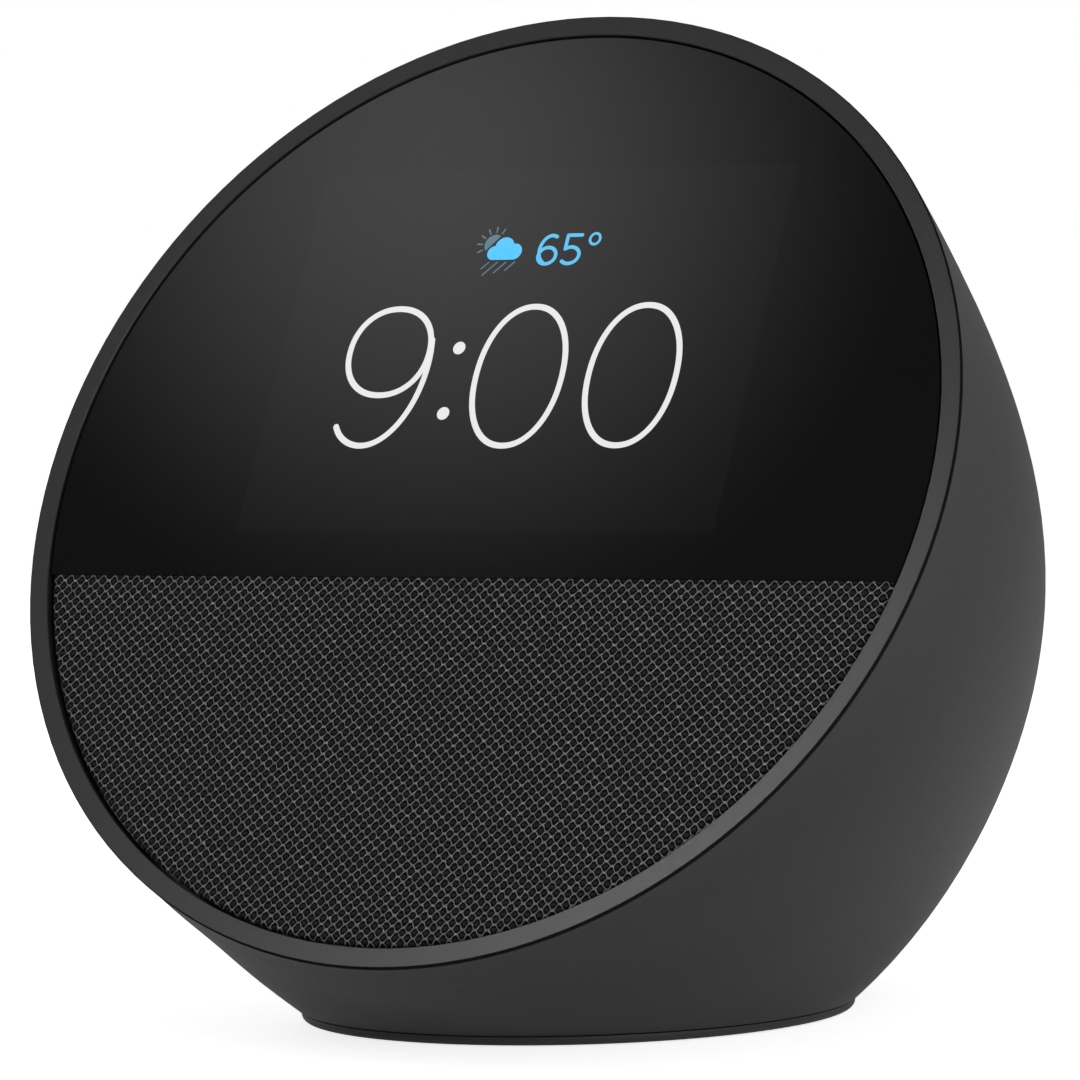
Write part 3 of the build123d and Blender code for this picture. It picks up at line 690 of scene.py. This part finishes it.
def arc_points(across, up, half_width, half_height, start, end, count):
    """Part of an ellipse round a centre, between two angles in degrees."""
    points = []
    for i in range(count):
        turn = math.radians(start + (end - start) * i / (count - 1))
        x = across + half_width * math.cos(turn)
        points.append((x, up + half_height * math.sin(turn)))
    return points


def clock():
    """The hour, two dots and two noughts, in thin round-ended strokes."""
    white = lit_mark("clock_light", WHITE, 0.78)
    loop = ring_points(-15.8, 15.5, half_width=5.1, half_height=5.25, fullness=DIGIT_FULLNESS)
    stroke("clock_hour_loop", loop, DIGIT_STROKE, white, on_glass, closed=True)
    foot_across = -16.6
    foot_up = DIGIT_MIDDLE - DIGIT_HALF_HEIGHT + 0.05
    bend = 10.0
    hook = 4.1
    tail = arc_points(foot_across, foot_up + bend, 6.15, bend, 16, -90, 12)
    tail += arc_points(foot_across, foot_up + hook, hook, hook, -90, -154, 6)[1:]
    stroke("clock_hour_tail", tail, DIGIT_STROKE, white, on_glass)
    for name, across in (("clock_tens", 1.4), ("clock_units", 15.5)):
        ring = ring_points(across, DIGIT_MIDDLE, DIGIT_HALF_WIDTH, DIGIT_HALF_HEIGHT, DIGIT_FULLNESS)
        stroke(name, ring, DIGIT_STROKE, white, on_glass, closed=True)
    for name, up in (("clock_dot_upper", 15.9), ("clock_dot_lower", 8.0)):
        dot = ring_points(-7.0, up, half_width=0.76, half_height=0.76, count=16)
        filled(name, dot, white, on_glass)


def weather():
    """Sun behind a rain cloud of three round lobes on a flat base."""
    blue = lit_mark("weather_light", (0.08, 0.546, 1.0), 1.0)
    dim = lit_mark("weather_dim_light", (0.10, 0.18, 0.215), 1.0)
    base = 26.6
    sun_radius = 1.2
    ray_pen = 0.17
    rain_pen = 0.15
    rain_pitch = 1.1
    for index, (across, radius, raised) in enumerate(CLOUD_LOBES):
        lobe = ring_points(across, base + radius + raised, radius, radius, count=24)
        filled(f"weather_cloud_{index}", lobe, blue, on_glass)
    belly = ring_points(-4.3, base + 0.6, half_width=1.6, half_height=0.6, fullness=0.4, count=24)
    filled("weather_cloud_base", belly, blue, on_glass)
    sun = Vector((-5.8, 28.5))
    disc = arc_points(sun.x, sun.y, sun_radius, sun_radius, start=58, end=219, count=16)
    filled("weather_sun", disc, dim, on_glass, round_it=False)
    for index in range(6):
        turn = math.radians(62 + 29 * index)
        ahead = Vector((math.cos(turn), math.sin(turn)))
        ray = [sun + ahead * (sun_radius + gap) for gap in (0.3, 0.6, 0.9)]
        stroke(f"weather_ray_{index}", ray, ray_pen, dim, on_glass)
    slant = Vector((1.0, 1.0)).normalized()
    for index, length in enumerate((1.1, 2.2, 1.8, 1.4)):
        top = Vector((-5.95 + rain_pitch * index, base - 0.3))
        drop = [top, top - slant * length / 2, top - slant * length]
        stroke(f"weather_rain_{index}", drop, rain_pen, dim, on_glass)


def temperature():
    """Two small figures and a degree ring, from arcs on a common base line."""
    pale = lit_mark("temperature_light", (0.095, 0.52, 0.86), 1.0)
    base = 26.0
    top = base + 3.45
    bowl = 1.0
    pen = 0.43
    six = ring_points(1.25, base + bowl, half_width=1.1, half_height=bowl, count=20)
    stroke("temperature_tens_bowl", six, pen, pale, on_glass, closed=True)
    back = arc_points(1.45, (base + top) / 2, 1.3, (top - base) / 2, start=65, end=245, count=12)
    stroke("temperature_tens_back", back, pen, pale, on_glass)
    left = 3.38
    bar = [(left, top), (left + 0.9, top), (left + 1.75, top)]
    stroke("temperature_units_top", bar, pen, pale, on_glass)
    five = arc_points(4.1, base + bowl, 1.17, bowl, start=128, end=-135, count=12)
    stem = [(left, top), (left, (top + five[0][1]) / 2), five[0]]
    stroke("temperature_units_stem", stem, pen, pale, on_glass)
    stroke("temperature_units", five, pen, pale, on_glass)
    degree = ring_points(6.85, top - 0.5, half_width=0.62, half_height=0.66, count=16)
    stroke("temperature_degree", degree, 0.31, pale, on_glass, closed=True)


def on_button(node, index):
    """Drapes a mark on the top of a button, from the button's own surface."""
    tree = BVHTree.FromObject(NODES[node], bpy.context.evaluated_depsgraph_get())
    forward = BUTTON_AXIS.cross(BUTTON_ACROSS)
    centre = BUTTON_ORIGIN + BUTTON_ACROSS * BUTTON_PITCH * index

    def place(across, up, lift):
        above = centre + BUTTON_ACROSS * across + forward * up + BUTTON_AXIS * PROBE_HEIGHT
        hit = tree.ray_cast(above * MM, -BUTTON_AXIS)[0]
        ground = hit if hit is not None else centre * MM
        return ground + BUTTON_AXIS * (INK_GAP + INK_THICKNESS * lift) * MM

    return place


def button_marks():
    """A minus and a plus, printed on the two volume buttons."""
    ink = moulded("mark_ink", (0.30, 0.30, 0.30), 0.5, grain=1800.0)
    pen = 0.34
    down = on_button("volume_down_button", -1)
    bar = [(-1.5 + 0.5 * i, 0.0) for i in range(7)]
    stroke("volume_down_mark", bar, pen, ink, down, "volume_down")
    up = on_button("volume_up_button", 1)
    post = [(0.0, -1.5 + 0.5 * i) for i in range(7)]
    stroke("volume_up_mark_across", bar, pen, ink, up, "volume_up")
    stroke("volume_up_mark_along", post, pen, ink, up, "volume_up")


def floor():
    """A plain pale sweep under and behind the object."""
    s = new_shader("pale_floor")
    where = s.place()
    mottle = s.noise(where, 60.0, 3.0, 0.5)
    s.put(Base_Color=s.blend(mottle, FLOOR_PALE, FLOOR_LIGHT))
    s.put(Roughness=s.span(mottle, 0.3, 0.7, 0.8, 0.9))
    s.put(Specular_IOR_Level=0.2)
    s.put(Emission_Color=WHITE)
    eye = s.node("ShaderNodeLightPath").outputs["Is Camera Ray"]
    s.put(Emission_Strength=s.span(eye, 0.0, 1.0, FLOOR_GLOW, FLOOR_SEEN))
    mesh = bpy.data.meshes.new("floor")
    reach = 6.0
    corners = [(-reach, -reach, 0), (reach, -reach, 0), (reach, reach, 0), (-reach, reach, 0)]
    mesh.from_pydata(corners, [], [(0, 1, 2, 3)])
    mesh.materials.append(s.material)
    ground = bpy.data.objects.new("floor", mesh)
    bpy.context.scene.collection.objects.link(ground)


def area_light(name, place, towards, size, watts):
    data = bpy.data.lights.new(name, "AREA")
    data.shape = "RECTANGLE"
    data.size = size[0]
    data.size_y = size[1]
    data.energy = watts
    lamp = bpy.data.objects.new(name, data)
    lamp.location = place
    lamp.rotation_mode = "QUATERNION"
    lamp.rotation_quaternion = (Vector(towards) - Vector(place)).to_track_quat("-Z", "Y")
    bpy.context.scene.collection.objects.link(lamp)
    return lamp


def sky():
    """White to the camera; as light, dimmer from the upper left in front and at the horizon."""
    world = bpy.data.worlds.new("studio")
    bpy.context.scene.world = world
    world.use_nodes = True
    world.node_tree.nodes.clear()
    t = NodeTree(world.node_tree)
    facing = t.node("ShaderNodeTexCoord").outputs["Generated"]
    from_left = t.dot(facing, tuple(DIM_SIDE.normalized()))
    dimmed = t.span(from_left, -0.2, 0.9, SKY_BRIGHT, SKY_DIM, smooth=True)
    parts = t.node("ShaderNodeSeparateXYZ")
    t.link(facing, parts.inputs[0])
    height = t.math("ABSOLUTE", parts.outputs["Z"])
    horizon = t.span(height, 0.0, 0.5, HORIZON, 1.0, smooth=True)
    light = t.node("ShaderNodeBackground")
    t.feed(light.inputs["Color"], WHITE)
    t.link(t.math("MULTIPLY", dimmed, horizon), light.inputs["Strength"])
    seen = t.node("ShaderNodeBackground")
    t.feed(seen.inputs["Color"], WHITE)
    t.feed(seen.inputs["Strength"], SKY_SEEN)
    mix = t.node("ShaderNodeMixShader")
    t.link(t.node("ShaderNodeLightPath").outputs["Is Camera Ray"], mix.inputs[0])
    t.link(light.outputs[0], mix.inputs[1])
    t.link(seen.outputs[0], mix.inputs[2])
    t.link(mix.outputs[0], t.node("ShaderNodeOutputWorld").inputs["Surface"])


def lights():
    centre = FACE_CENTRE * MM
    area_light("right_front", place=(0.36, -0.24, 0.16), towards=centre, size=(0.2, 0.2), watts=0.4)
    area_light("left_soft", place=(-0.62, 0.10, 0.34), towards=centre, size=(0.5, 0.6), watts=1.2)


def reflected_card():
    """A graded card that the glass mirrors towards the camera."""
    sight = camera_axes()[2]
    mirror = FACE_NORMAL * (2.0 * FACE_NORMAL.dot(sight)) - sight
    middle = FACE_CENTRE * MM + mirror * CARD_DISTANCE
    side = mirror.cross(Vector((0.0, 0.0, 1.0))).normalized()
    rise = side.cross(mirror).normalized()
    half = CARD_SIZE / 2
    mesh = bpy.data.meshes.new("graded_card")
    corners = [(-half, -half, 0), (half, -half, 0), (half, half, 0), (-half, half, 0)]
    mesh.from_pydata(corners, [], [(0, 1, 2, 3)])
    s = new_shader("graded_card")
    where = s.place()
    glow = CARD_DARK
    for pool in CARD_POOLS:
        away = s.node("ShaderNodeVectorMath", operation="DISTANCE")
        s.link(where, away.inputs[0])
        away.inputs[1].default_value = pool["middle"]
        lit = s.span(away.outputs["Value"], 0.0, pool["reach"], pool["light"], 0.0, smooth=True)
        glow = s.math("ADD", lit, glow)
    s.put(Base_Color=(0.0, 0.0, 0.0))
    s.put(Roughness=1.0)
    s.put(Specular_IOR_Level=0.0)
    s.put(Emission_Color=WHITE)
    s.put(Emission_Strength=glow)
    mesh.materials.append(s.material)
    card = bpy.data.objects.new("graded_card", mesh)
    turn = Matrix((side, rise, -mirror)).transposed()
    card.matrix_world = Matrix.Translation(middle) @ turn.to_4x4()
    bpy.context.scene.collection.objects.link(card)
    card.visible_camera = False
    card.visible_diffuse = False
    card.visible_shadow = False


def camera_axes():
    """The camera's right, up and back directions."""
    back = Vector(
        (
            math.sin(AZIMUTH) * math.cos(ELEVATION),
            -math.cos(AZIMUTH) * math.cos(ELEVATION),
            math.sin(ELEVATION),
        )
    )
    level = Vector((math.cos(AZIMUTH), math.sin(AZIMUTH), 0.0))
    rise = back.cross(level)
    right = level * math.cos(ROLL) + rise * math.sin(ROLL)
    up = rise * math.cos(ROLL) - level * math.sin(ROLL)
    return right, up, back


def camera():
    right, up, back = camera_axes()
    data = bpy.data.cameras.new("camera")
    data.lens = LENS
    data.sensor_width = SENSOR
    data.clip_start = 0.05
    data.clip_end = 50.0
    eye = FACE_CENTRE + right * CAMERA_RIGHT - up * CAMERA_DOWN + back * DISTANCE
    holder = bpy.data.objects.new("camera", data)
    turn = Matrix((right, up, back)).transposed()
    holder.matrix_world = Matrix.Translation(eye * MM) @ turn.to_4x4()
    bpy.context.scene.collection.objects.link(holder)
    bpy.context.scene.camera = holder
    bpy.context.scene.view_settings.view_transform = "Standard"


dress_cad()
grille_cloth()
clock()
weather()
temperature()
button_marks()
floor()
sky()
lights()
reflected_card()
camera()

bpy.context.view_layer.update()
